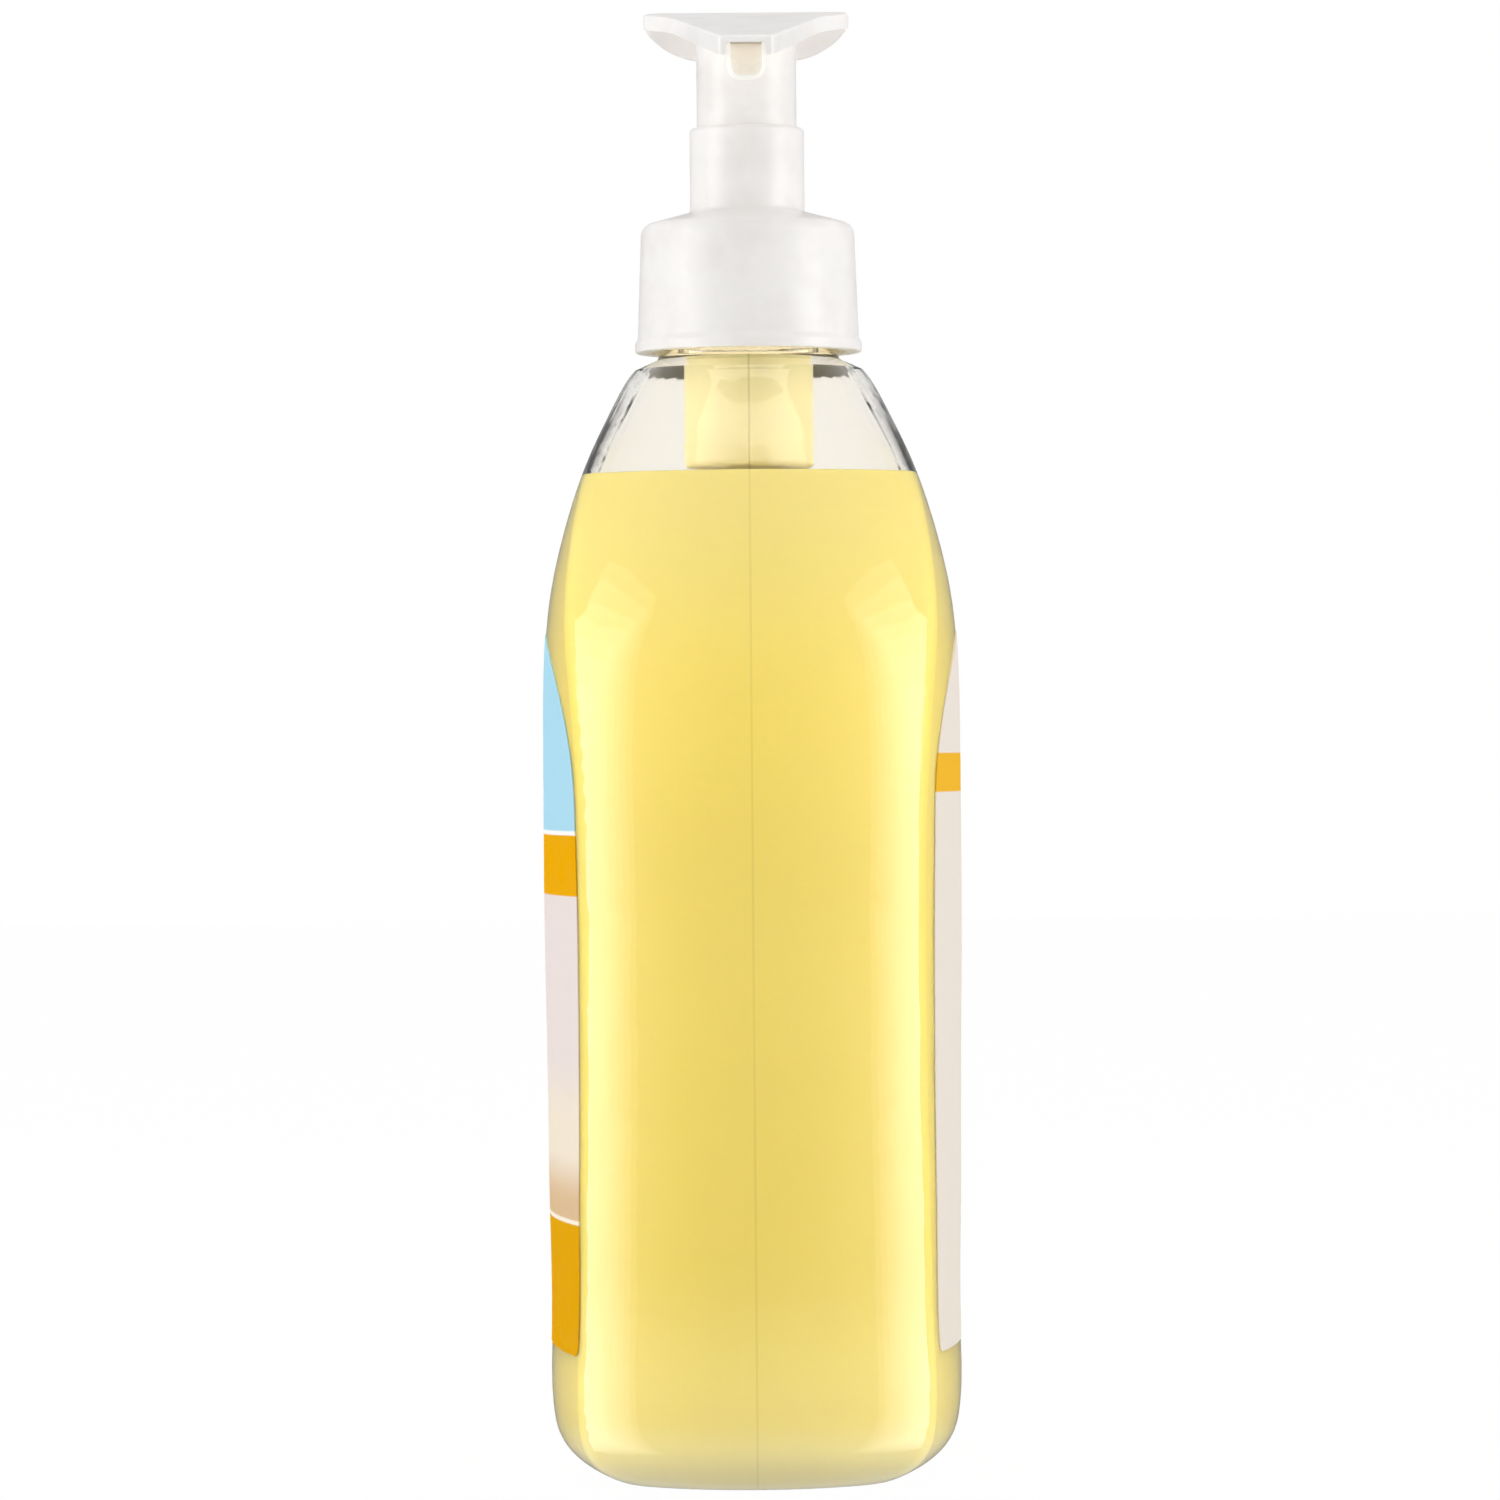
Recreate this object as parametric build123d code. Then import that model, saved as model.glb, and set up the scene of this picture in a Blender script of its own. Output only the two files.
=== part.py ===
from build123d import *
from math import cos, hypot, radians, sin, tan
import os

# Liquid soap bottle with a screw-on lotion pump. Millimetres, +Z up, origin in the middle of the base.
# X runs through the two labels (front label at -X), Y across the wide side, and the nozzle points to -Y.

# Bottle body
BODY_DEPTH = 59.2
BODY_WIDTH = 84.0
BODY_HEIGHT = 156.0
BODY_WALL = 0.8
CORNER_R = 3.4
HEEL_INSET = 10.5
HEEL_HEIGHT = 9.0
HEEL_CORNER_R = 8.0
PUSH_UP = 2.6
PUSH_UP_LAND = 3.0
PUSH_UP_SLOPE = 9.0
FLOOR_T = 1.2
SHOULDER_EDGE_R = 16.2
SHOULDER_WALL = 1.5

# Bottle neck
NECK_R = 12.85
NECK_BORE_R = 10.8
NECK_HEIGHT = 17.6
NECK_FOOT = 1.5
NECK_FOOT_R = 0.7
NECK_BORE_LEAD = 3.2
NECK_LIP = 0.5

# Liquid
LIQUID_LEVEL = 140.3
LIQUID_GAP = 0.08
LIQUID_HOLE_GAP = 0.3

# Labels
LABEL_T = 0.12
LABEL_FOOT_Z = 18.6
LABEL_TOP_Z = 118.6
LABEL_ARCH_RISE = 24.0
FRONT_LABEL_WIDTH = 64.0
BACK_LABEL_WIDTH = 59.0
LABEL_CORNER_R = 1.5

# Gasket and pump housing
GASKET_T = 1.0
FLANGE_T = 1.4
FLANGE_R = 12.4
CYLINDER_R = 9.2
CYLINDER_WALL = 1.0
CYLINDER_FOOT_Z = 141.9
CYLINDER_FLOOR_T = 1.2
CYLINDER_CORNER_R = 1.0
LOWER_R = 5.5
LOWER_WALL = 1.2
LOWER_FOOT_Z = 124.6
SEAT_HEIGHT = 2.4
SEAT_HOLE_R = 1.5
SEAT_CONE_RISE = 1.7
SOCKET_R = 4.2
SOCKET_DEPTH = 9.0
VENT_R = 0.6
VENT_DROP = 9.0

# Dip tube
TUBE_R = 3.0
TUBE_WALL = 0.8
TUBE_FOOT_Z = 7.5
TUBE_TIP_ANGLE = 35.0

# Inlet ball and its cage
BALL_R = 2.5
BALL_GAP = 0.1
BALL_LIFT = 1.5
CAGE_GAP = 0.35
CAGE_ROOF_T = 1.0
CAGE_SLOTS = 4
CAGE_SLOT_WIDTH = 1.1

# Piston, rod and stem
STROKE = 10.0
RUNNING_GAP = 0.05
PISTON_HEIGHT = 7.4
PISTON_LIP_HEIGHT = 2.2
PISTON_LIP_T = 0.8
PISTON_RELIEF = 0.35
PISTON_WEB = 1.4
PISTON_HUB_R = 4.6
STOP_GAP = 0.2
PISTON_SEAT_GAP = 0.1
VALVE_GAP = 0.3
STEM_R = 4.0
STEM_BORE_R = 2.5
STEM_SHOULDER_R = 5.4
STEM_SHOULDER_HEIGHT = 1.5
STEM_TOP_DROP = 2.2
ROD_FLANGE_R = 3.7
ROD_FLANGE_T = 1.6
ROD_R = 2.9
ROD_PLUG_LENGTH = 4.0
ROD_PORT_R = 1.1
ROD_PIN_R = 2.2
ROD_PIN_LENGTH = 5.0

# Return spring
WIRE_R = 0.4
SPRING_R = 3.3
SPRING_COILS = 9
SPRING_GAP = 0.05

# Retainer ring
RETAINER_DEPTH = 7.4
RETAINER_NECK_R = 5.7
RETAINER_NECK_RISE = 5.6
RETAINER_WALL = 1.1
RETAINER_WEB = 1.5

# Closure
CAP_LIFT = 2.5
CAP_FOOT_R = 15.75
CAP_HEAD_R = 15.15
CAP_BEAD_R = 16.15
CAP_BEAD_HEIGHT = 1.3
CAP_BEAD_SLOPE = 0.8
CAP_BORE_R = 14.1
CAP_TOP_RISE = 2.45
CAP_EDGE_DROP = 1.9
CAP_EDGE_R = 1.8
CHIMNEY_R = 8.15
CHIMNEY_HEIGHT = 11.95
CHIMNEY_EDGE_R = 0.6
CHIMNEY_FOOT_R = 0.5

# Actuator head
HEAD_GAP = 0.6
SKIRT_R = 7.1
SKIRT_WALL = 1.0
SKIRT_GAP = 0.3
SKIRT_ENGAGE = 3.4
HEAD_RISE = 7.0
PAD_BACK = 8.6
PAD_SPAN = 29.4
PAD_TIP_R = 2.2
PAD_WAIST_Y = 1.8
PAD_WAIST_SPAN = 21.6
PAD_FLARE_Y = 5.2
PAD_WAIST_R = 6.0
PAD_FLARE_R = 1.2
PAD_SLOPE = 12.3
PAD_SKIN = 0.9
PAD_EDGE_R = 0.4
PAD_RIM = 2.0
PAD_RIM_SLOPE = 13.5
PAD_RIM_WALL = 1.05
NOZZLE_REACH = 22.0
NOZZLE_WIDTH = 7.6
NOZZLE_CORNER_R = 0.6
WEB_TIP_SPAN = 28.6
WEB_TIP_DROP = 2.9
WEB_BELLY_SPAN = 22.8
WEB_BELLY_RISE = 1.5
WEB_T = 1.1

# Spout insert
SPOUT_WALL = 0.55
SPOUT_DEPTH = 5.1
SPOUT_ROUND_R = 2.0
SPOUT_LIP = 0.3
SPOUT_SOCKET_WALL = 1.2
SPOUT_SOCKET_DEPTH = 7.4
SPOUT_BACK = 5.2

# Small allowances shared by all cuts and chamfers
OVERRUN = 1.0
EDGE_BREAK = 0.3

# Heights and radii that follow from the sizes above
neck_top_z = BODY_HEIGHT + NECK_HEIGHT
flange_z = neck_top_z + GASKET_T
ceiling_z = flange_z + FLANGE_T
cap_foot_z = BODY_HEIGHT + CAP_LIFT
cap_top_z = ceiling_z + CAP_TOP_RISE
chimney_top_z = cap_top_z + CHIMNEY_HEIGHT
head_foot_z = chimney_top_z + STROKE + HEAD_GAP
pad_top_z = head_foot_z + HEAD_RISE
skirt_foot_z = chimney_top_z - SKIRT_ENGAGE

cylinder_bore_r = CYLINDER_R - CYLINDER_WALL
cylinder_floor_z = CYLINDER_FOOT_Z + CYLINDER_FLOOR_T
lower_bore_r = LOWER_R - LOWER_WALL
lower_cone_z = LOWER_FOOT_Z - (LOWER_R - SOCKET_R)
socket_foot_z = LOWER_FOOT_Z - SOCKET_DEPTH
seat_z = LOWER_FOOT_Z + SEAT_HEIGHT
cone_foot_z = seat_z - SEAT_CONE_RISE
ball_z = cone_foot_z + hypot(BALL_R, BALL_R) - SEAT_HOLE_R + BALL_GAP
cage_roof_z = ball_z + BALL_R + BALL_LIFT + CAGE_GAP
spring_foot_z = cage_roof_z + CAGE_ROOF_T

retainer_foot_z = ceiling_z - RETAINER_DEPTH
stem_shoulder_z = retainer_foot_z - STOP_GAP
stem_foot_z = stem_shoulder_z - STEM_SHOULDER_HEIGHT
piston_top_z = stem_foot_z - PISTON_SEAT_GAP
piston_foot_z = piston_top_z - PISTON_HEIGHT
rod_flange_z = piston_foot_z - VALVE_GAP
spring_top_z = rod_flange_z - ROD_FLANGE_T
stem_top_z = head_foot_z - STEM_TOP_DROP

# The body's rings, from the heel to the shoulder's edge. Each has its shares of the body's height, half
# depth and half width, then two angles in degrees, where the label panel's arc ends and the narrow side's
# arc starts, then its shares of the corner radius and the wall.
RING_SHARES = (
    (0.130, 0.979, 0.979, 15.9, 55.0, 1.0, 1.0),
    (0.240, 0.984, 0.986, 17.6, 55.0, 1.0, 1.0),
    (0.330, 0.988, 0.992, 18.7, 55.0, 1.0, 1.0),
    (0.420, 0.9935, 0.9965, 19.5, 55.0, 1.0, 1.0),
    (0.520, 0.9995, 1.000, 19.9, 55.0, 1.0, 1.0),
    (0.620, 0.999, 1.000, 18.6, 55.0, 1.0, 1.0),
    (0.700, 0.997, 0.963, 16.3, 54.0, 1.1, 1.0),
    (0.755, 0.986, 0.916, 14.0, 52.0, 1.3, 1.0),
    (0.800, 0.958, 0.849, 12.5, 49.0, 1.4, 1.0),
    (0.845, 0.905, 0.764, 10.5, 45.0, 1.7, 1.1),
    (0.890, 0.834, 0.657, 8.0, 38.0, 2.8, 1.2),
    (0.930, 0.751, 0.559, 6.0, 30.0, 5.2, 1.35),
    (0.965, 0.661, 0.474, 6.0, 30.0, 5.5, 1.6),
    (0.9915, 0.583, 0.4135, 6.0, 30.0, 5.0, 1.8),
)
HEEL_SHARES = (0.9757, 0.975)
HEEL_TURNS = (15.4, 55.0)
EDGE_TURNS = (6.0, 30.0)
HEEL_ANGLES = (0.0, 22.5, 45.0, 67.5, 90.0)


def at_angle(centre, radius, angle):
    """A point on a circle, by its angle in degrees."""
    return (centre[0] + radius * cos(radians(angle)), centre[1] + radius * sin(radians(angle)))


def ring(z, depth, width, panel_turn, side_turn, corner_r):
    """One level outline of the body, in tangent arcs: two label panels, two narrow sides, four corners."""
    pc, ps = cos(radians(panel_turn)), sin(radians(panel_turn))
    sc, ss = cos(radians(side_turn)), sin(radians(side_turn))
    across, along = depth - corner_r, width - corner_r
    scale = (1 - pc) * (1 - ss) - sc * ps
    panel = (across * (1 - ss) - sc * along) / scale
    side = ((1 - pc) * along - ps * across) / scale
    centre = (side * sc, panel * ps)
    x1, y1 = at_angle(centre, corner_r, panel_turn)
    xm, ym = at_angle(centre, corner_r, (panel_turn + side_turn) / 2)
    x2, y2 = at_angle(centre, corner_r, side_turn)
    arcs = [
        ThreePointArc((x1, -y1), (depth, 0), (x1, y1)),
        ThreePointArc((x1, y1), (xm, ym), (x2, y2)),
        ThreePointArc((x2, y2), (0, width), (-x2, y2)),
        ThreePointArc((-x2, y2), (-xm, ym), (-x1, y1)),
        ThreePointArc((-x1, y1), (-depth, 0), (-x1, -y1)),
        ThreePointArc((-x1, -y1), (-xm, -ym), (-x2, -y2)),
        ThreePointArc((-x2, -y2), (0, -width), (x2, -y2)),
        ThreePointArc((x2, -y2), (xm, -ym), (x1, -y1)),
    ]
    return Plane.XY.offset(z) * make_face(arcs)


def body_loft(foot_z, wall_scale, inset):
    """The body's form, moved in by a share of the wall and by an inset. Its flat foot lies at foot_z."""
    half_depth, half_width = BODY_DEPTH / 2, BODY_WIDTH / 2
    move = wall_scale * BODY_WALL + inset
    rings = []
    for angle in HEEL_ANGLES:
        pull = (HEEL_INSET - foot_z) * (1 - sin(radians(angle))) + move
        z = HEEL_HEIGHT - (HEEL_HEIGHT - foot_z) * cos(radians(angle))
        corner_r = HEEL_CORNER_R + (CORNER_R - HEEL_CORNER_R) * sin(radians(angle)) - move
        depth, width = HEEL_SHARES[0] * half_depth - pull, HEEL_SHARES[1] * half_width - pull
        rings.append(ring(z, depth, width, *HEEL_TURNS, corner_r))
    for height, depth, width, panel_turn, side_turn, corner, wall in RING_SHARES:
        move = wall_scale * wall * BODY_WALL + inset
        size = (depth * half_depth - move, width * half_width - move)
        rings.append(ring(height * BODY_HEIGHT, *size, panel_turn, side_turn, corner * CORNER_R - move))
    edge_r = SHOULDER_EDGE_R - wall_scale * SHOULDER_WALL - inset
    rings.append(ring(BODY_HEIGHT, edge_r, edge_r, *EDGE_TURNS, edge_r))
    return loft(rings)


def turned(*outline, rounds=()):
    """A solid of revolution from a closed outline of (radius, height). rounds has (corner, radius) pairs."""
    face = make_face(Polyline(*outline, close=True))
    for corner, radius in rounds:
        face = fillet(face.vertices().sort_by_distance((*corner, 0))[0], radius)
    return revolve(Plane.XZ * face, Axis.Z)


def tube(outer_r, inner_r, foot_z, top_z):
    """A plain round tube."""
    return turned((inner_r, foot_z), (outer_r, foot_z), (outer_r, top_z), (inner_r, top_z))


def rod(radius, foot_z, top_z):
    """A plain round bar."""
    return turned((0, foot_z), (radius, foot_z), (radius, top_z), (0, top_z))


def push_up(rise, grow):
    """The hollow under the base, grown by a wall where it shows inside."""
    half_depth = HEEL_SHARES[0] * BODY_DEPTH / 2 - HEEL_INSET - PUSH_UP_LAND + grow
    half_width = HEEL_SHARES[1] * BODY_WIDTH / 2 - HEEL_INSET - PUSH_UP_LAND + grow
    low = Plane.XY * Ellipse(half_depth, half_width)
    high = Plane.XY.offset(rise) * Ellipse(half_depth - PUSH_UP_SLOPE, half_width - PUSH_UP_SLOPE)
    return loft([low, high])


def make_bottle():
    """The blow-moulded bottle: body, shoulder and neck in one piece, open at the neck."""
    neck_foot_z = BODY_HEIGHT + NECK_FOOT
    neck = turned(
        (0, BODY_HEIGHT), (SHOULDER_EDGE_R, BODY_HEIGHT), (NECK_R, neck_foot_z),
        (NECK_R, neck_top_z), (0, neck_top_z),
        rounds=(((NECK_R, neck_foot_z), NECK_FOOT_R), ((NECK_R, neck_top_z), NECK_LIP)),
    )
    above_neck = neck_top_z + OVERRUN
    bore = turned(
        (0, BODY_HEIGHT), (SHOULDER_EDGE_R - SHOULDER_WALL, BODY_HEIGHT),
        (NECK_BORE_R, BODY_HEIGHT + NECK_BORE_LEAD), (NECK_BORE_R, above_neck), (0, above_neck),
    )
    cavity = body_loft(FLOOR_T, 1, 0) - push_up(PUSH_UP + FLOOR_T, FLOOR_T)
    return body_loft(0, 0, 0) + neck - cavity - bore - push_up(PUSH_UP, 0)


def make_liquid():
    """The soap, filled to its level, with room for the pump's lower end and the dip tube."""
    foot_z = FLOOR_T + LIQUID_GAP
    filled = body_loft(foot_z, 1, LIQUID_GAP) - push_up(PUSH_UP + FLOOR_T + LIQUID_GAP, FLOOR_T + LIQUID_GAP)
    filled = split(filled, bisect_by=Plane.XY.offset(LIQUID_LEVEL), keep=Keep.BOTTOM)
    sunk = ((LOWER_R, lower_cone_z), (SOCKET_R, socket_foot_z), (TUBE_R, TUBE_FOOT_Z))
    for radius, low_z in sunk:
        filled -= rod(radius + LIQUID_HOLE_GAP, low_z - LIQUID_HOLE_GAP, LIQUID_LEVEL + OVERRUN)
    return filled


def make_label(side, width):
    """A film label on one panel: straight sides, a flat foot and an arched top."""
    half = width / 2
    arch_z = LABEL_TOP_Z - LABEL_ARCH_RISE
    foot = Line((-half, LABEL_FOOT_Z), (half, LABEL_FOOT_Z))
    rise = Line((half, LABEL_FOOT_Z), (half, arch_z))
    arch = EllipticalCenterArc((0, arch_z), half, LABEL_ARCH_RISE, arc_size=180)
    drop = Line((-half, arch_z), (-half, LABEL_FOOT_Z))
    face = make_face([foot, rise, arch, drop])
    face = fillet(face.vertices().sort_by(Axis.Y)[:2], LABEL_CORNER_R)
    slab = extrude(Plane.YZ * face, side * BODY_DEPTH)
    return (body_loft(0, 0, -LABEL_T) - body_loft(0, 0, 0)) & slab


def make_gasket():
    """The soft washer between the neck's lip and the pump's flange."""
    return tube(FLANGE_R, CYLINDER_R + LIQUID_HOLE_GAP, neck_top_z, flange_z)


def make_housing():
    """The pump's cylinder, with its flange, stepped lower end, ball seat and dip tube socket."""
    shell = turned(
        (cylinder_bore_r, ceiling_z), (FLANGE_R, ceiling_z), (FLANGE_R, flange_z), (CYLINDER_R, flange_z),
        (CYLINDER_R, CYLINDER_FOOT_Z), (LOWER_R, CYLINDER_FOOT_Z), (LOWER_R, LOWER_FOOT_Z),
        (SOCKET_R, lower_cone_z), (SOCKET_R, socket_foot_z), (TUBE_R, socket_foot_z),
        (TUBE_R, LOWER_FOOT_Z), (SEAT_HOLE_R, LOWER_FOOT_Z), (SEAT_HOLE_R, cone_foot_z),
        (SEAT_HOLE_R + SEAT_CONE_RISE, seat_z), (lower_bore_r, seat_z), (lower_bore_r, cylinder_floor_z),
        (cylinder_bore_r, cylinder_floor_z),
        rounds=(
            ((CYLINDER_R, CYLINDER_FOOT_Z), CYLINDER_CORNER_R),
            ((LOWER_R, CYLINDER_FOOT_Z), CYLINDER_CORNER_R / 2),
            ((cylinder_bore_r, cylinder_floor_z), CYLINDER_CORNER_R / 2),
        ),
    )
    vent = Rot(90, 0, 0) * Cylinder(VENT_R, 2 * CYLINDER_WALL + OVERRUN)
    return shell - Pos(0, CYLINDER_R, ceiling_z - VENT_DROP) * vent


def make_dip_tube():
    """The dip tube, pressed into its socket, with its tip cut at a slant."""
    pipe = tube(TUBE_R, TUBE_R - TUBE_WALL, TUBE_FOOT_Z, LOWER_FOOT_Z)
    tip = radians(TUBE_TIP_ANGLE)
    slant = Plane((-TUBE_R, 0, TUBE_FOOT_Z), z_dir=(-sin(tip), 0, cos(tip)))
    return split(pipe, bisect_by=slant, keep=Keep.TOP)


def make_ball_cage():
    """The cage over the inlet ball. Its roof stops the ball and carries the spring."""
    room_r = BALL_R + CAGE_GAP
    cage = turned(
        (room_r, seat_z), (lower_bore_r, seat_z), (lower_bore_r, spring_foot_z),
        (SEAT_HOLE_R, spring_foot_z), (SEAT_HOLE_R, cage_roof_z), (room_r, cage_roof_z),
    )
    slot = Pos(0, 0, cage_roof_z + CAGE_ROOF_T / 2) * Box(2 * room_r, CAGE_SLOT_WIDTH, 2 * CAGE_ROOF_T)
    for turn in range(CAGE_SLOTS // 2):
        cage -= Rot(0, 0, turn * 360 / CAGE_SLOTS) * slot
    return cage


def make_spring():
    """The return spring: a round wire coil between the cage and the rod's flange."""
    low_z = spring_foot_z + WIRE_R + SPRING_GAP
    height = spring_top_z - spring_foot_z - 2 * (WIRE_R + SPRING_GAP)
    coil = Pos(0, 0, low_z) * Helix(pitch=height / SPRING_COILS, height=height, radius=SPRING_R)
    wire = Plane(origin=coil @ 0, z_dir=coil % 0) * Circle(WIRE_R)
    return sweep(wire, path=coil)


def make_rod():
    """The piston rod: a ported plug in the stem, the valve flange and the pin that centres the spring."""
    plug_top_z = stem_foot_z + ROD_PLUG_LENGTH
    bar = rod(STEM_BORE_R, stem_foot_z, plug_top_z) + rod(ROD_R, rod_flange_z, stem_foot_z)
    bar += rod(ROD_FLANGE_R, spring_top_z, rod_flange_z)
    bar += rod(ROD_PIN_R, spring_top_z - ROD_PIN_LENGTH, spring_top_z)
    port_z = rod_flange_z + 2 * ROD_PORT_R
    bar -= rod(ROD_PORT_R, port_z, plug_top_z + OVERRUN)
    bar -= Pos(0, 0, port_z) * Rot(0, 90, 0) * Cylinder(ROD_PORT_R, 2 * (ROD_R + OVERRUN))
    return bar


def make_piston():
    """The piston seal: a hub on the rod, a web and two lips on the cylinder's wall."""
    hub_r, lip_r = ROD_R + RUNNING_GAP, cylinder_bore_r - RUNNING_GAP
    lip_in, relief_r = lip_r - PISTON_LIP_T, lip_r - PISTON_RELIEF
    web_low = (piston_foot_z + piston_top_z - PISTON_WEB) / 2
    web_high = web_low + PISTON_WEB
    low_lip, high_lip = piston_foot_z + PISTON_LIP_HEIGHT, piston_top_z - PISTON_LIP_HEIGHT
    return turned(
        (hub_r, piston_foot_z), (PISTON_HUB_R, piston_foot_z), (PISTON_HUB_R, web_low),
        (lip_in, web_low), (lip_in, piston_foot_z), (lip_r, piston_foot_z), (lip_r, low_lip),
        (relief_r, low_lip + PISTON_RELIEF), (relief_r, high_lip - PISTON_RELIEF),
        (lip_r, high_lip), (lip_r, piston_top_z), (lip_in, piston_top_z), (lip_in, web_high),
        (PISTON_HUB_R, web_high), (PISTON_HUB_R, piston_top_z), (hub_r, piston_top_z),
    )


def make_stem():
    """The hollow stem, with the shoulder that stops it under the retainer ring."""
    return turned(
        (STEM_BORE_R, stem_foot_z), (STEM_SHOULDER_R, stem_foot_z), (STEM_SHOULDER_R, stem_shoulder_z),
        (STEM_R, stem_shoulder_z), (STEM_R, stem_top_z), (STEM_BORE_R, stem_top_z),
        rounds=(((STEM_R, stem_top_z), EDGE_BREAK),),
    )


def make_retainer():
    """The ring snapped into the cylinder's mouth. It guides the stem and rises into the chimney."""
    guide_r = STEM_R + RUNNING_GAP
    web_z = ceiling_z - RETAINER_WEB
    wall_in = cylinder_bore_r - RETAINER_WALL
    neck_top = ceiling_z + RETAINER_NECK_RISE
    return turned(
        (guide_r, retainer_foot_z), (RETAINER_NECK_R, retainer_foot_z), (RETAINER_NECK_R, web_z),
        (wall_in, web_z), (wall_in, retainer_foot_z), (cylinder_bore_r, retainer_foot_z),
        (cylinder_bore_r, ceiling_z), (RETAINER_NECK_R, ceiling_z), (RETAINER_NECK_R, neck_top),
        (guide_r, neck_top),
        rounds=(
            ((RETAINER_NECK_R, neck_top), EDGE_BREAK),
            ((cylinder_bore_r, retainer_foot_z), EDGE_BREAK),
        ),
    )


def make_closure():
    """The screw closure: a smooth skirt with a foot bead, a sloping top and the chimney round the stem."""
    bead_z = cap_foot_z + CAP_BEAD_HEIGHT
    edge_z = cap_top_z - CAP_EDGE_DROP
    bore_r = SKIRT_R + SKIRT_GAP
    return turned(
        (CAP_BORE_R, cap_foot_z), (CAP_BEAD_R, cap_foot_z), (CAP_BEAD_R, bead_z),
        (CAP_FOOT_R, bead_z + CAP_BEAD_SLOPE), (CAP_HEAD_R, edge_z), (CHIMNEY_R, cap_top_z),
        (CHIMNEY_R, chimney_top_z), (bore_r, chimney_top_z), (bore_r, ceiling_z), (CAP_BORE_R, ceiling_z),
        rounds=(
            ((CAP_BEAD_R, cap_foot_z), EDGE_BREAK),
            ((CAP_BEAD_R, bead_z), EDGE_BREAK),
            ((CAP_FOOT_R, bead_z + CAP_BEAD_SLOPE), CAP_BEAD_SLOPE),
            ((CAP_HEAD_R, edge_z), CAP_EDGE_R),
            ((CHIMNEY_R, cap_top_z), CHIMNEY_FOOT_R),
            ((CHIMNEY_R, chimney_top_z), CHIMNEY_EDGE_R),
        ),
    )


# The finger pad's plane falls from the head's back edge to the nozzle. The rim's lower edge falls faster.
pad_slope, rim_slope = radians(PAD_SLOPE), radians(PAD_RIM_SLOPE)
pad_plane = Plane((0, PAD_BACK, pad_top_z), x_dir=(1, 0, 0), z_dir=(0, -sin(pad_slope), cos(pad_slope)))
rim_foot = (0, PAD_BACK, pad_top_z - PAD_RIM)
rim_plane = Plane(rim_foot, x_dir=(1, 0, 0), z_dir=(0, -sin(rim_slope), cos(rim_slope)))
# The skirt and the web run into the pad's skin, and end between its edge round and its underside.
pad_bond = (PAD_EDGE_R + PAD_SKIN) / 2


def pad_outline():
    """The head seen from above: narrow at the nozzle, flared to two wing tips at the back."""
    nose, waist, tip = NOZZLE_WIDTH / 2, PAD_WAIST_SPAN / 2, PAD_SPAN / 2
    right = [(nose, -NOZZLE_REACH), (waist, PAD_WAIST_Y), (tip, PAD_FLARE_Y), (tip, PAD_BACK)]
    left = [(-x, y) for x, y in reversed(right)]
    face = make_face(Polyline(*right, *left, close=True))
    for (x, y), radius in zip(right, (NOZZLE_CORNER_R, PAD_WAIST_R, PAD_FLARE_R, PAD_TIP_R)):
        for corner_x in (x, -x):
            face = fillet(face.vertices().sort_by_distance((corner_x, y, 0))[0], radius)
    return face


def above_foot(face):
    """A tall block of the head's height over a level outline."""
    return extrude(Plane.XY.offset(skirt_foot_z) * face, pad_top_z - skirt_foot_z)


def under_pad(shape, depth):
    """What lies deeper than this under the finger pad."""
    return split(shape, bisect_by=pad_plane.offset(-depth), keep=Keep.BOTTOM)


def make_head():
    """The actuator head: a pad with a rim, open below, a back web and a skirt in the chimney."""
    outline = pad_outline()
    slab = split(under_pad(above_foot(outline), 0), bisect_by=rim_plane, keep=Keep.TOP)
    top = slab.faces().sort_by_distance(pad_plane.offset(PAD_BACK).origin)[0]
    slab = fillet(top.edges(), PAD_EDGE_R)
    shell = slab - under_pad(above_foot(offset(outline, -PAD_RIM_WALL)), PAD_SKIN)
    skirt = under_pad(tube(SKIRT_R, SKIRT_R - SKIRT_WALL, skirt_foot_z, pad_top_z), pad_bond)
    tip_x, tip_z = WEB_TIP_SPAN / 2, pad_top_z - WEB_TIP_DROP
    belly_x, belly_z = WEB_BELLY_SPAN / 2, head_foot_z + WEB_BELLY_RISE
    web = make_face([
        Line((-SKIRT_R, head_foot_z), (SKIRT_R, head_foot_z)),
        ThreePointArc((SKIRT_R, head_foot_z), (belly_x, belly_z), (tip_x, tip_z)),
        Polyline((tip_x, tip_z), (tip_x, pad_top_z), (-tip_x, pad_top_z), (-tip_x, tip_z)),
        ThreePointArc((-tip_x, tip_z), (-belly_x, belly_z), (-SKIRT_R, head_foot_z)),
    ])
    web = Pos(0, PAD_BACK, 0) * extrude(Plane.XZ * web, WEB_T)
    rib_depth = PAD_BACK - SKIRT_R + SKIRT_WALL / 2
    rib = Box(WEB_T, rib_depth, HEAD_RISE)
    rib = Pos(0, PAD_BACK - rib_depth / 2, head_foot_z + HEAD_RISE / 2) * rib
    back = under_pad((web + rib) & above_foot(outline), pad_bond)
    return shell + skirt + back - spout_block(0)


def spout_profile(wall):
    """The spout's section: flat on top, round below. wall moves it in from the outer face."""
    half, foot = NOZZLE_WIDTH / 2 - PAD_RIM_WALL - wall, PAD_SKIN + SPOUT_DEPTH - wall
    face = make_face(Polyline((-half, PAD_SKIN), (half, PAD_SKIN), (half, foot), (-half, foot), close=True))
    return fillet(face.vertices().sort_by(Axis.Y)[-2:], SPOUT_ROUND_R - wall)


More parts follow.
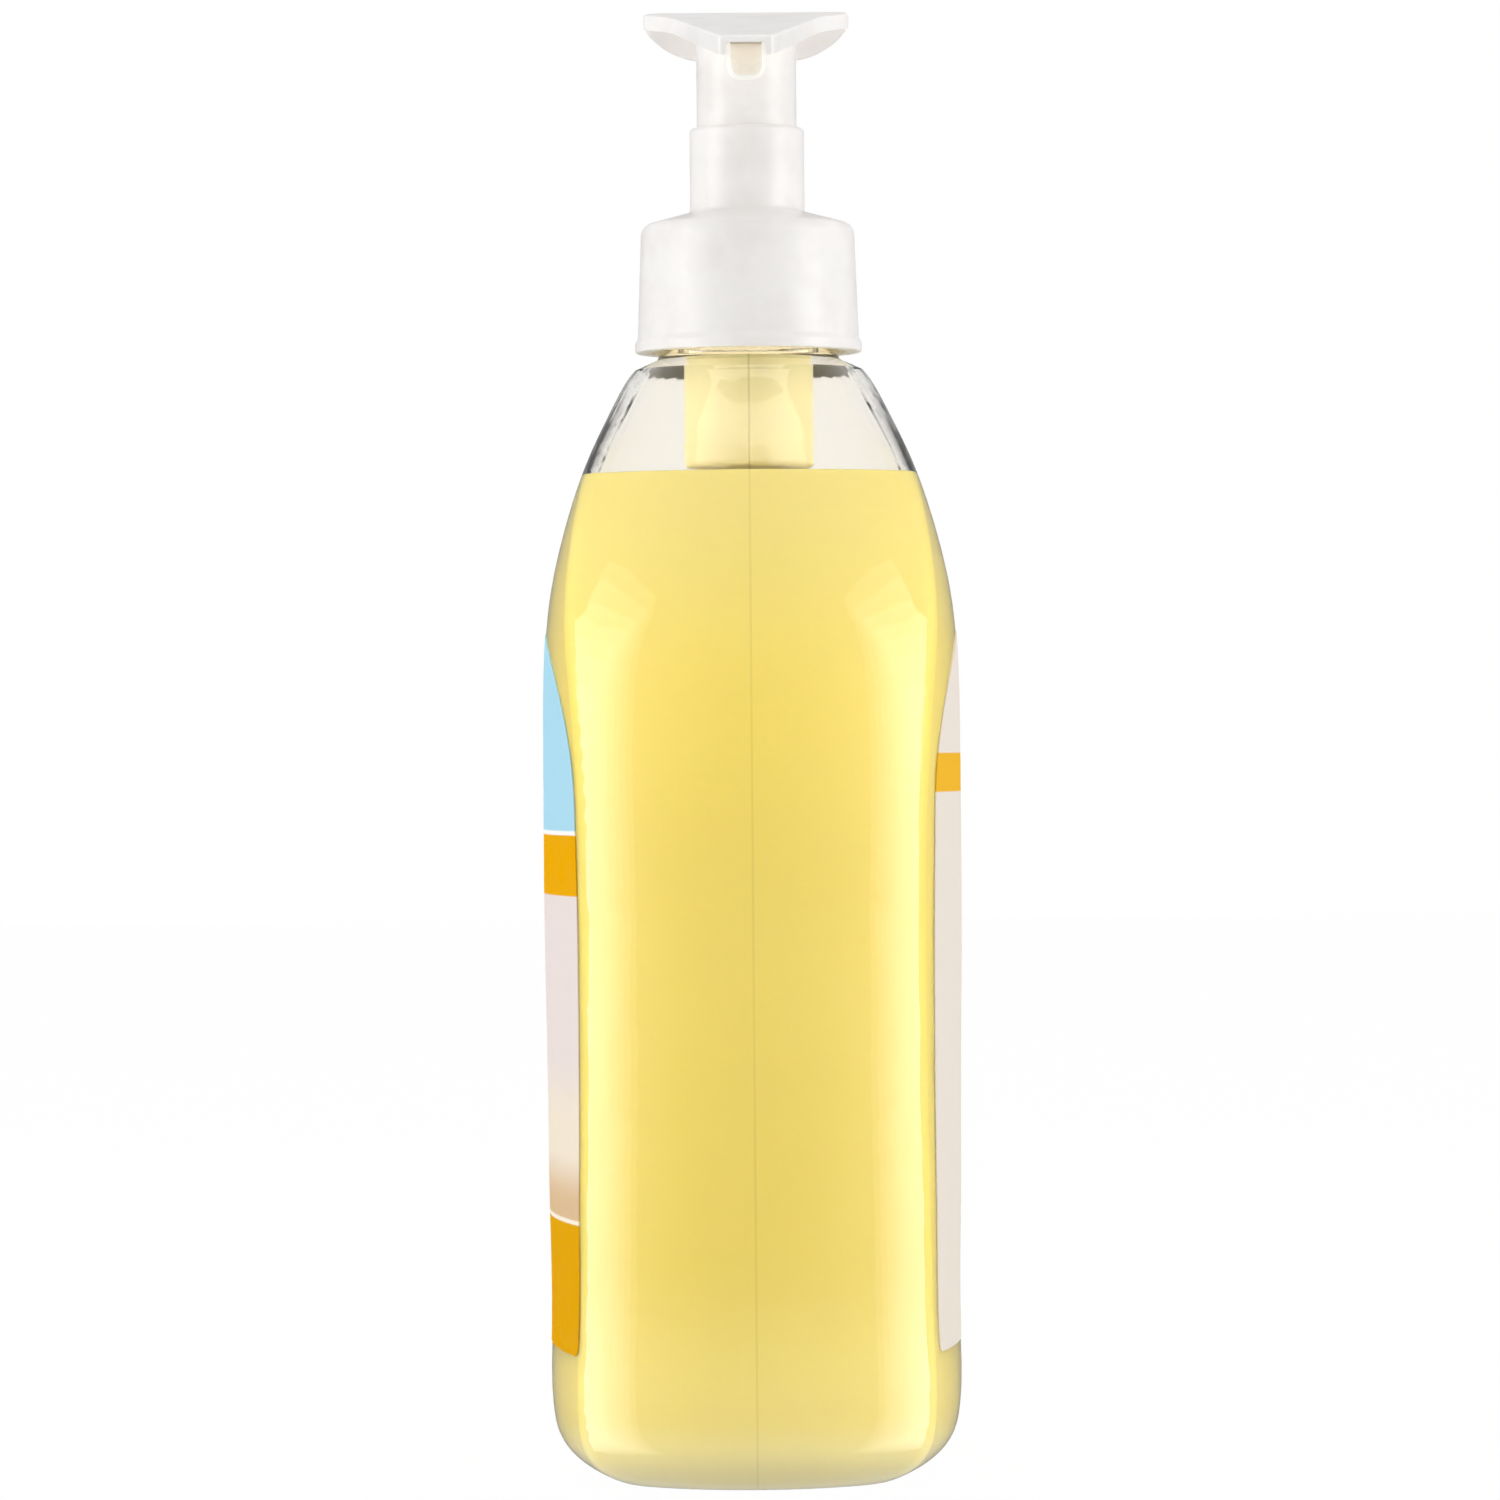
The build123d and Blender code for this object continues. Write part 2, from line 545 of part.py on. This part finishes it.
def chimney_room(wall):
    """The room that the chimney's top takes under the pressed head, with a wall round it."""
    return rod(CHIMNEY_R + HEAD_GAP + wall, skirt_foot_z, head_foot_z + wall)


def spout_bar(wall, back_y, front_y):
    """The spout's section along the pad's slope, between two upright faces and clear of the chimney."""
    middle = (0, 0, pad_top_z - PAD_BACK * tan(pad_slope))
    run = Plane(middle, x_dir=(1, 0, 0), z_dir=(0, cos(pad_slope), sin(pad_slope)))
    bar = extrude(run * spout_profile(wall), 2 * NOZZLE_REACH, both=True)
    bar = split(bar, bisect_by=Plane.XZ.offset(-back_y), keep=Keep.TOP)
    bar = split(bar, bisect_by=Plane.XZ.offset(-front_y), keep=Keep.BOTTOM)
    return bar - chimney_room(wall)


def spout_block(wall):
    """The room that the spout takes in the head."""
    return spout_bar(wall, SPOUT_BACK, -NOZZLE_REACH - OVERRUN)


def make_spout():
    """The spout insert: a channel under the pad and a socket on the stem."""
    socket_foot, floor_z = head_foot_z - SPOUT_SOCKET_DEPTH, head_foot_z + SPOUT_WALL
    socket = tube(STEM_R + SPOUT_SOCKET_WALL, STEM_R, socket_foot, head_foot_z)
    floor = rod(STEM_R + SPOUT_SOCKET_WALL, head_foot_z, floor_z)
    channel = spout_bar(0, SPOUT_BACK, -NOZZLE_REACH - SPOUT_LIP)
    hollow = spout_bar(SPOUT_WALL, SPOUT_BACK - SPOUT_WALL, -NOZZLE_REACH - OVERRUN)
    return channel + socket + floor - hollow - rod(STEM_BORE_R, socket_foot, floor_z + SPOUT_WALL)


PARTS = {
    "bottle": make_bottle(),
    "liquid_soap": make_liquid(),
    "front_label": make_label(-1, FRONT_LABEL_WIDTH),
    "back_label": make_label(1, BACK_LABEL_WIDTH),
    "neck_gasket": make_gasket(),
    "pump_housing": make_housing(),
    "dip_tube": make_dip_tube(),
    "inlet_ball": Pos(0, 0, ball_z) * Sphere(BALL_R),
    "ball_cage": make_ball_cage(),
    "return_spring": make_spring(),
    "piston_rod": make_rod(),
    "piston_seal": make_piston(),
    "stem": make_stem(),
    "retainer_ring": make_retainer(),
    "closure_cap": make_closure(),
    "actuator_head": make_head(),
    "spout_insert": make_spout(),
}

os.makedirs("parts", exist_ok=True)
for name, shape in PARTS.items():
    shape.label = name
    export_step(shape, f"parts/{name}.step")
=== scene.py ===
# Materials, studio and camera for the liquid soap bottle. Metres, in the part's shared frame.
import math

import bpy
from mathutils import Matrix, Vector


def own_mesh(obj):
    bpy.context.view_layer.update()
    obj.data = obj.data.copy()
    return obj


MM = 0.001
PURE_WHITE = (1, 1, 1, 1)

# Camera. The photo leans by ROLL degrees.
LENS = 156.0
SENSOR = 36.0
EYE = (-0.25 * MM, -926.25 * MM, 101.9 * MM)
ROLL = 0.47

# Strength of the world's white as light on the object, and as mirrored in gloss. Gloss mirrors the floor's
# white in directions that sink to FLOOR_GLOSS_SINK or lower, and the world's from WORLD_GLOSS_SINK up.
WORLD_LIGHT = 0.5
WORLD_GLOSS = 0.25
WORLD_GLOSS_SINK = -0.15
FLOOR_GLOSS = 0.9
FLOOR_GLOSS_SINK = -0.6

# Floor: its half side, its own colour, and how far it glows for the camera
FLOOR_HALF = 3.0
FLOOR_COLOUR = (0.86, 0.86, 0.86, 1)
FLOOR_GLOW_SHARE = 0.985

# Lamps that shine: a fill on each side, given here for the right one, and a box above
LAMP_AIM = (0, 0, 0.1)
FILL_PLACE = (0.9, -0.3, 0.2)
FILL_SIZE = (0.8, 0.4)
FILL_WATTS = 3.4
TOP_PLACE = (0, 0.1, 1.0)
TOP_SIZE = (0.8, 0.8)
TOP_WATTS = 4.5

# Strip boxes beside the object, seen only in its gloss. Each stands on a line from a far to a near end and
# reaches below the floor. Layers of growing width and height soften its mirrored edge.
STRIP_FAR = (0.345, -0.06)
STRIP_NEAR = (0.25, -0.24)
STRIP_LAYERS = 8
STRIP_WIDTH_SHARES = (0.45, 1.0)
STRIP_TOPS = (0.16, 0.43)
STRIP_DROPS = (0.1, 0.36)
STRIP_WATTS_PER_M2 = 2.3

# Clear plastic: how far from the middle the parting line's ridge and its thin dark line reach, how dark the
# line is, and the shares of the ridge and of the wall's waves in its bump
RIDGE_REACH = 0.45 * MM
LINE_CORE = 0.08 * MM
LINE_REACH = 0.2 * MM
LINE_SHARE = 0.3
RIDGE_SHARE = 0.2
WAVE_SHARE = 0.6
WALL_BUMP = 0.1 * MM

# Soap: the heights over which painted light turns its colour, and how much: a duller, slightly darker
# painted shade near its crown, and a paler painted reflection of the white floor at its foot and at the
# lowest rim
CROWN_SHADE_FADE = (105 * MM, 138 * MM)
FOOT_REFLECTION_FADE = (8 * MM, 34 * MM)
RIM_REFLECTION_FADE = (2 * MM, 11 * MM)
FOOT_REFLECTION_SHARE = 0.3
RIM_REFLECTION_SHARE = 0.8
SWIRL_SHARE = 0.25

# How far light enters each soft material
SOAP_DEPTH = 6 * MM
PLASTIC_DEPTH = 2 * MM
WHITE_DEPTH = 1 * MM
IVORY_DEPTH = 4 * MM

# The middle stretch of a noise, which is spread over the whole range of what it changes
NOISE_SPAN = (0.3, 0.7)

# The plastics' fine grain and slight change of tone, and the labels' film and ink
GRAIN_BUMP = 0.02 * MM
GRAIN_STRENGTH = 0.35
TONE_SPAN = (0.35, 0.7)
TONE_SHARE = 0.94
INK_MOTTLE_SHARE = 0.008

# A faint glow stands for the light that thin walls let through: all round the spout's mouth, and on the
# gasket where it is seen through the clear neck.
SPOUT_GLOW = 0.1
GASKET_GLOW = 0.7

# The soap wets the wall. Its shown surface lies inside the wall, so no film of air shows between them. Its
# faces are welded first, so that they move as one, and split by angle at the end, so that the level is flat.
WETTING = 0.4 * MM
WELD_REACH = 0.005 * MM
SPLIT_ANGLE = 40

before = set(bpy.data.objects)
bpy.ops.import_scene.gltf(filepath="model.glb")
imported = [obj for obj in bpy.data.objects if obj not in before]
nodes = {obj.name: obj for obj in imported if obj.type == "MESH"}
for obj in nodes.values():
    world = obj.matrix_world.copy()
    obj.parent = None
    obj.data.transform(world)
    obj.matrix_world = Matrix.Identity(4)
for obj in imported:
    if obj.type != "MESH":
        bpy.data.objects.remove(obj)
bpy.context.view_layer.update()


def linear(r, g, b):
    """A screen colour, 0 to 255, as the linear colour that the shaders take."""
    channels = []
    for value in (r, g, b):
        share = value / 255
        channels.append(share / 12.92 if share <= 0.04045 else ((share + 0.055) / 1.055) ** 2.4)
    return (*channels, 1.0)


class Shading:
    """A node tree with a few short words for the nodes used here."""

    # The two colours and the result among a Mix node's sockets
    MIX_FIRST, MIX_SECOND, MIX_RESULT = 6, 7, 2

    def __init__(self, tree):
        self.tree = tree

    def node(self, kind, **settings):
        node = self.tree.nodes.new("ShaderNode" + kind)
        for key, value in settings.items():
            setattr(node, key, value)
        return node

    def feed(self, socket, value):
        """Gives a socket a plain value, or links another node's output to it."""
        if isinstance(value, bpy.types.NodeSocket):
            self.tree.links.new(value, socket)
        else:
            socket.default_value = value

    def place(self, kind="Object"):
        """The point on the object, in metres in the shared frame. In a world, Generated gives directions."""
        split = self.node("SeparateXYZ")
        self.feed(split.inputs[0], self.node("TexCoord").outputs[kind])
        return split.outputs

    def noise(self, scale, detail=3.0, stretch=(1, 1, 1)):
        """Noise on the object. Its scale is per metre."""
        mapping = self.node("Mapping")
        self.feed(mapping.inputs["Scale"], stretch)
        self.feed(mapping.inputs["Vector"], self.node("TexCoord").outputs["Object"])
        noise = self.node("TexNoise")
        self.feed(noise.inputs["Scale"], scale)
        self.feed(noise.inputs["Detail"], detail)
        self.feed(noise.inputs["Vector"], mapping.outputs["Vector"])
        return noise.outputs["Fac"]

    def math(self, operation, first, second=0.0):
        node = self.node("Math", operation=operation)
        self.feed(node.inputs[0], first)
        self.feed(node.inputs[1], second)
        return node.outputs[0]

    def spread(self, value, low, high, to_low=0.0, to_high=1.0, smooth=True):
        """Maps a value between two limits to 0 and 1, or to two other numbers."""
        node = self.node("MapRange", interpolation_type="SMOOTHSTEP" if smooth else "LINEAR")
        numbers = {"Value": value, "From Min": low, "From Max": high, "To Min": to_low, "To Max": to_high}
        for name, number in numbers.items():
            self.feed(node.inputs[name], number)
        return node.outputs["Result"]

    def blend(self, share, first, second):
        """Mixes two colours, each a colour or a socket."""
        node = self.node("Mix", data_type="RGBA")
        self.feed(node.inputs["Factor"], share)
        self.feed(node.inputs[self.MIX_FIRST], first)
        self.feed(node.inputs[self.MIX_SECOND], second)
        return node.outputs[self.MIX_RESULT]

    def layer(self, share, under, over):
        """Mixes two shaders."""
        node = self.node("MixShader")
        for socket, value in zip(node.inputs, (share, under, over)):
            self.feed(socket, value)
        return node.outputs[0]


class Paint(Shading):
    """A material with one Principled shader."""

    def __init__(self, name, **settings):
        self.material = bpy.data.materials.new(name)
        self.material.use_nodes = True
        super().__init__(self.material.node_tree)
        self.shader = self.tree.nodes["Principled BSDF"]
        self.set(**settings)

    def set(self, **settings):
        """Feeds the shader's sockets. A name has _ where the socket's has a space."""
        for name, value in settings.items():
            self.feed(self.shader.inputs[name.replace("_", " ")], value)

    def bump(self, height, distance, strength=1.0):
        node = self.node("Bump")
        self.feed(node.inputs["Distance"], distance)
        self.feed(node.inputs["Strength"], strength)
        self.feed(node.inputs["Height"], height)
        self.set(Normal=node.outputs["Normal"])


def clear_plastic():
    """Clear blow-moulded polyester, with its slight waves and the parting line down both narrow sides."""
    paint = Paint("clear_polyester", Transmission_Weight=1.0, Roughness=0.05, IOR=1.5)
    off_middle = paint.math("ABSOLUTE", paint.place()[0])
    ridge = paint.spread(off_middle, 0.0, RIDGE_REACH, 1.0, 0.0)
    line = paint.spread(off_middle, LINE_CORE, LINE_REACH, LINE_SHARE, 0.0)
    tint, dark = (0.985, 0.967, 0.935, 1), (0.45, 0.4, 0.3, 1)
    paint.set(Base_Color=paint.blend(line, tint, dark))
    waves = paint.math("MULTIPLY", paint.noise(28, 2, stretch=(1, 1, 0.35)), WAVE_SHARE)
    paint.bump(paint.math("ADD", waves, paint.math("MULTIPLY", ridge, RIDGE_SHARE)), WALL_BUMP)
    return paint.material


def soap():
    """Pearly soap: pale yellow with faint slow swirls, a duller painted shade near its level and a paler
    painted reflection of the white floor near its foot.
    """
    paint = Paint("pearly_soap", Roughness=0.38, Subsurface_Weight=0.35, Subsurface_Scale=SOAP_DEPTH,
                  Subsurface_Radius=(1.0, 0.7, 0.25))
    z = paint.place()[2]
    body, cloud = linear(226, 207, 98), linear(231, 218, 138)
    # The crown colour is a painted shade near the level; the foot colour is a painted reflection of the
    # white floor.
    foot, crown_shade = linear(238, 230, 176), linear(216, 202, 122)
    clouds = paint.noise(22, 2, stretch=(1, 1, 0.5))
    swirl = paint.spread(clouds, *NOISE_SPAN, 0.0, SWIRL_SHARE, smooth=False)
    mixed = paint.blend(paint.spread(z, *CROWN_SHADE_FADE), paint.blend(swirl, body, cloud), crown_shade)
    # Painted reflection of the white floor, growing towards the foot and the lowest rim.
    mixed = paint.blend(paint.spread(z, *FOOT_REFLECTION_FADE, FOOT_REFLECTION_SHARE, 0.0), mixed, foot)
    mixed = paint.blend(paint.spread(z, *RIM_REFLECTION_FADE, RIM_REFLECTION_SHARE, 0.0), mixed, foot)
    paint.set(Base_Color=mixed)
    return paint.material


def moulded(name, tint, roughness, subsurface=0.15, depth=PLASTIC_DEPTH, gloss=0.5):
    """Injection-moulded plastic with a very fine grain. Light enters it as far as depth."""
    paint = Paint(name, Roughness=roughness, Subsurface_Weight=subsurface, Subsurface_Scale=depth,
                  Subsurface_Radius=(1.0, 0.96, 0.9), Specular_IOR_Level=gloss)
    deeper = tuple(TONE_SHARE * channel for channel in tint[:3]) + (1.0,)
    paint.set(Base_Color=paint.blend(paint.spread(paint.noise(160), *TONE_SPAN), tint, deeper))
    paint.bump(paint.noise(2400, 2), GRAIN_BUMP, GRAIN_STRENGTH)
    return paint


def spout_plastic():
    paint = moulded("ivory_plastic", linear(252, 247, 236), 0.32, subsurface=1.0, depth=IVORY_DEPTH)
    paint.set(Emission_Color=linear(248, 245, 238), Emission_Strength=SPOUT_GLOW)
    return paint.material


def gasket_foam():
    paint = moulded("gasket_foam", linear(238, 230, 200), 0.8)
    through = paint.node("LightPath").outputs["Is Transmission Ray"]
    paint.set(Emission_Color=linear(250, 238, 206),
              Emission_Strength=paint.math("MULTIPLY", through, GASKET_GLOW))
    return paint.material


def metal(name, roughness):
    """Drawn or ground steel, with faint streaks."""
    paint = Paint(name, Metallic=1.0)
    dark, bright = (0.62, 0.62, 0.63, 1), (0.78, 0.78, 0.78, 1)
    paint.set(Base_Color=paint.blend(paint.noise(900, 4, stretch=(1, 1, 0.1)), dark, bright))
    paint.set(Roughness=paint.spread(paint.noise(600), *NOISE_SPAN, roughness * 0.7, roughness * 1.3))
    return paint.material


def label_print(name, foot_tint, fields):
    """A printed film label: level colour fields from the foot up, faint ink mottle and a dull film.

    Each field has its foot's height, its colour and how far its lower edge fades up and down.
    """
    paint = Paint(name, Roughness=0.5, Specular_IOR_Level=0.0)
    z = paint.place()[2]
    mottle = paint.spread(paint.noise(420), *NOISE_SPAN, 0.0, INK_MOTTLE_SHARE)
    tints = foot_tint
    for height, tint, fade in fields:
        tints = paint.blend(paint.spread(z, height - fade, height + fade), tints, tint)
    paint.set(Base_Color=paint.blend(mottle, tints, PURE_WHITE))
    paint.bump(paint.noise(90, 2), GRAIN_BUMP)
    return paint.material


CRISP = 0.12 * MM
CREAM = linear(233, 224, 214)
FRONT_FIELDS = (
    (36.6 * MM, linear(250, 240, 222), CRISP),
    (37.2 * MM, linear(222, 190, 150), CRISP),
    (43.0 * MM, linear(242, 230, 212), 4 * MM),
    (55.0 * MM, linear(234, 223, 219), 5 * MM),
    (81.9 * MM, linear(238, 172, 4), CRISP),
    (90.3 * MM, linear(252, 251, 249), CRISP),
    (90.9 * MM, linear(173, 220, 240), CRISP),
)
BACK_FIELDS = (
    (95.9 * MM, linear(241, 184, 50), CRISP),
    (101.3 * MM, CREAM, CRISP),
)

white_plastic = moulded("white_plastic", linear(251, 248, 246), 0.3, 0.25, WHITE_DEPTH, gloss=0.25).material
natural_plastic = moulded("natural_plastic", linear(218, 207, 152), 0.42, 0.4, gloss=0.2).material
FINISHES = {
    "bottle": clear_plastic(),
    "liquid_soap": soap(),
    "front_label": label_print("front_print", linear(228, 167, 12), FRONT_FIELDS),
    "back_label": label_print("back_print", CREAM, BACK_FIELDS),
    "neck_gasket": gasket_foam(),
    "pump_housing": natural_plastic,
    "dip_tube": natural_plastic,
    "ball_cage": natural_plastic,
    "stem": natural_plastic,
    "piston_rod": natural_plastic,
    "retainer_ring": white_plastic,
    "closure_cap": white_plastic,
    "actuator_head": white_plastic,
    "spout_insert": spout_plastic(),
    "piston_seal": moulded("soft_seal", linear(232, 232, 226), 0.5).material,
    "return_spring": metal("spring_steel", 0.3),
    "inlet_ball": metal("ball_steel", 0.08),
}
for name, material in FINISHES.items():
    mesh = nodes[name].data
    mesh.materials.clear()
    mesh.materials.append(material)
    mesh.shade_smooth()
# The clear bottle and the thin closure let light through to what they enclose.
for name in ("bottle", "closure_cap"):
    nodes[name].visible_shadow = False

closed = nodes["liquid_soap"].modifiers.new("closed", "WELD")
closed.merge_threshold = WELD_REACH
wet = nodes["liquid_soap"].modifiers.new("wetting", "DISPLACE")
wet.strength = WETTING
wet.mid_level = 0.0
crisp = nodes["liquid_soap"].modifiers.new("crisp", "EDGE_SPLIT")
crisp.split_angle = math.radians(SPLIT_ANGLE)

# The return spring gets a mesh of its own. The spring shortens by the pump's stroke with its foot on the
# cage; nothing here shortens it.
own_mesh(nodes["return_spring"])


def studio_floor():
    """A plain white floor. The camera sees it almost evenly white, and gloss doesn't mirror it."""
    mesh = bpy.data.meshes.new("studio_floor")
    corners = [(x * FLOOR_HALF, y * FLOOR_HALF, 0) for x, y in ((-1, -1), (1, -1), (1, 1), (-1, 1))]
    mesh.from_pydata(corners, [], [(0, 1, 2, 3)])
    floor = bpy.data.objects.new("studio_floor", mesh)
    bpy.context.scene.collection.objects.link(floor)
    paint = Paint("studio_floor", Base_Color=FLOOR_COLOUR, Roughness=0.9, Specular_IOR_Level=0.0)
    path = paint.node("LightPath").outputs
    looks = paint.math("MAXIMUM", path["Is Camera Ray"], path["Is Transmission Ray"])
    glow = paint.node("Emission").outputs[0]
    shown = paint.layer(paint.math("MULTIPLY", looks, FLOOR_GLOW_SHARE), paint.shader.outputs[0], glow)
    paint.feed(paint.tree.nodes["Material Output"].inputs["Surface"], shown)
    mesh.materials.append(paint.material)
    floor.visible_glossy = False


def studio_world():
    """White where the camera looks past the object or through its clear walls, and a soft light on it.

    Mirrored in gloss it is dim, but for the floor's white from below.
    """
    world = bpy.data.worlds.new("studio")
    bpy.context.scene.world = world
    world.use_nodes = True
    shading = Shading(world.node_tree)
    rise = shading.place("Generated")[2]
    gloss = shading.spread(rise, FLOOR_GLOSS_SINK, WORLD_GLOSS_SINK, FLOOR_GLOSS, WORLD_GLOSS, smooth=False)
    path = shading.node("LightPath").outputs
    background = world.node_tree.nodes["Background"]
    shading.feed(background.inputs["Color"], PURE_WHITE)
    shading.feed(background.inputs["Strength"], WORLD_LIGHT)
    shown = background.outputs[0]
    for ray, strength in (("Is Glossy Ray", gloss), ("Is Transmission Ray", 1.0), ("Is Camera Ray", 1.0)):
        seen = shading.node("Background")
        shading.feed(seen.inputs["Color"], PURE_WHITE)
        shading.feed(seen.inputs["Strength"], strength)
        shown = shading.layer(path[ray], shown, seen.outputs[0])
    shading.feed(world.node_tree.nodes["World Output"].inputs["Surface"], shown)


def soft_box(name, place, aim, size, watts, mirrored=False):
    """An area light. It only shines, or it is only seen mirrored in gloss."""
    lamp = bpy.data.lights.new(name, "AREA")
    lamp.shape = "RECTANGLE"
    lamp.size, lamp.size_y = size
    lamp.energy = watts
    light = bpy.data.objects.new(name, lamp)
    bpy.context.scene.collection.objects.link(light)
    light.location = place
    light.rotation_euler = (Vector(aim) - Vector(place)).to_track_quat("-Z", "Y").to_euler()
    light.visible_diffuse = not mirrored
    light.visible_glossy = mirrored


def between(limits, share):
    """The value at a share of the way from the first limit to the second."""
    return limits[0] + (limits[1] - limits[0]) * share


def studio_strip(name, side):
    """The strip box on one side, in its layers."""
    far, near = (Vector((side * x, y, 0.0)) for x, y in (STRIP_FAR, STRIP_NEAR))
    for layer in range(STRIP_LAYERS):
        share = layer / (STRIP_LAYERS - 1)
        width_share = between(STRIP_WIDTH_SHARES, share)
        top = between(STRIP_TOPS, share)
        width = width_share * (near - far).length
        height = top + between(STRIP_DROPS, share)
        middle = far.lerp(near, width_share / 2) + Vector((0, 0, top - height / 2))
        watts = STRIP_WATTS_PER_M2 * width * height
        soft_box(f"{name}_strip_{layer}", middle, (0, 0, middle.z), (width, height), watts, mirrored=True)


def studio_lamps():
    for name, side in (("left", -1), ("right", 1)):
        studio_strip(name, side)
        x, y, z = FILL_PLACE
        soft_box(f"{name}_fill", (side * x, y, z), LAMP_AIM, FILL_SIZE, FILL_WATTS)
    soft_box("top_box", TOP_PLACE, LAMP_AIM, TOP_SIZE, TOP_WATTS)


def studio_camera():
    lens = bpy.data.cameras.new("camera")
    lens.lens = LENS
    lens.sensor_width = SENSOR
    camera = bpy.data.objects.new("camera", lens)
    bpy.context.scene.collection.objects.link(camera)
    turned = Matrix.Rotation(math.pi / 2, 4, "X") @ Matrix.Rotation(-math.radians(ROLL), 4, "Z")
    camera.matrix_world = Matrix.Translation(EYE) @ turned
    bpy.context.scene.camera = camera


studio_floor()
studio_world()
studio_lamps()
studio_camera()
bpy.context.scene.view_settings.view_transform = "Standard"
cycles = bpy.context.scene.cycles
cycles.max_bounces = 24
cycles.diffuse_bounces = 10
cycles.transmission_bounces = 24
